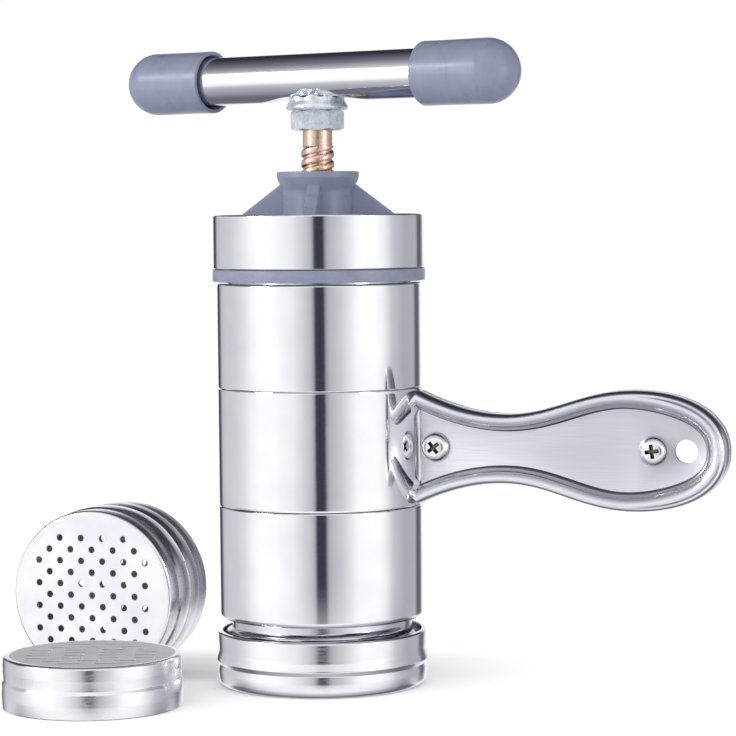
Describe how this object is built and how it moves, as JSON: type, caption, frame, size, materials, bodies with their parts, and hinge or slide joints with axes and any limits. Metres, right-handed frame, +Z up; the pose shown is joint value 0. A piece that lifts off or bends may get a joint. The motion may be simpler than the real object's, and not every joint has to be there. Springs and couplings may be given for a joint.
{
  "type": "hand noodle press",
  "caption": "Hand-operated stainless steel screw press: T-handle screw and piston in a round barrel with a side handle, a screw-on die ring and loose perforated dies.",
  "frame": {"origin": "middle of the whole set's box, on the surface that it stands on; the barrel's axis is vertical, 15.4 mm towards -X and 24.4 mm towards +Y from it", "axes": "+X along the side handle, away from the barrel; +Z up along the barrel"},
  "size_m": [0.2196, 0.1136, 0.1925],
  "materials": {
    "polished_steel": "mirror polished stainless steel",
    "satin_steel": "satin stainless steel with a fine grain",
    "screw_steel": "bright plated steel",
    "zinc": "bluish zinc plating",
    "copper_zinc": "copper-coloured plating",
    "grey_plastic": "blue-grey moulded plastic, semi-matt",
    "white_plastic": "moulded food-grade plastic",
    "rubber": "black rubber"
  },
  "bodies": {
    "ring": {"die_ring": "polished_steel"},
    "barrel": {"barrel_liner": "satin_steel", "lower_shell": "polished_steel", "upper_shell": "polished_steel", "strap_handle": "polished_steel", "handle_screw_inner": "screw_steel", "handle_nut_inner": "zinc", "handle_screw_outer": "screw_steel", "handle_nut_outer": "zinc"},
    "lid": {"lid_body": "grey_plastic", "lid_collar": "polished_steel", "lead_nut": "zinc"},
    "piston": {"piston": "white_plastic", "piston_seal": "rubber"},
    "screw": {"lead_screw": "copper_zinc", "piston_washer": "zinc", "piston_screw": "zinc", "lock_nut": "zinc", "flared_washer": "zinc", "cross_nut": "zinc", "handle_tube": "polished_steel", "handle_cap_near": "grey_plastic", "handle_cap_far": "grey_plastic"},
    "slot_die": {"slot_die": "satin_steel"},
    "round_hole_die": {"round_hole_die": "satin_steel"},
    "wide_hole_die": {"wide_hole_die": "satin_steel"}
  },
  "joints": [
    {"name": "barrel_lift", "type": "slide", "parent": "ring", "child": "barrel", "axis": [0, 0, 1], "range_m": [0, 0.06]},
    {"name": "lid_lift", "type": "slide", "parent": "barrel", "child": "lid", "axis": [0, 0, 1], "range_m": [0, 0.13]},
    {"name": "piston_slide", "type": "slide", "parent": "lid", "child": "piston", "axis": [0, 0, 1], "range_m": [-0.012, 0.085]},
    {"name": "screw_turn", "type": "hinge", "parent": "piston", "child": "screw", "pos_m": [-0.0154, 0.0244, 0.1], "axis": [0, 0, 1], "range_deg": [-721, 5101]},
    {"name": "slot_die_lift", "type": "slide", "parent": "ring", "child": "slot_die", "axis": [0, 0, 1], "range_m": [0, 0.06]},
    {"name": "round_hole_die_lift", "type": "slide", "parent": "ring", "child": "round_hole_die", "axis": [0, 0, 1], "range_m": [0, 0.06]},
    {"name": "wide_hole_die_lift", "type": "slide", "parent": "ring", "child": "wide_hole_die", "axis": [0, 0, 1], "range_m": [0, 0.06]}
  ],
  "couplings": [
    {"joint": "screw_turn", "follows": "piston_slide", "rad_per_m": 1047.2}
  ]
}
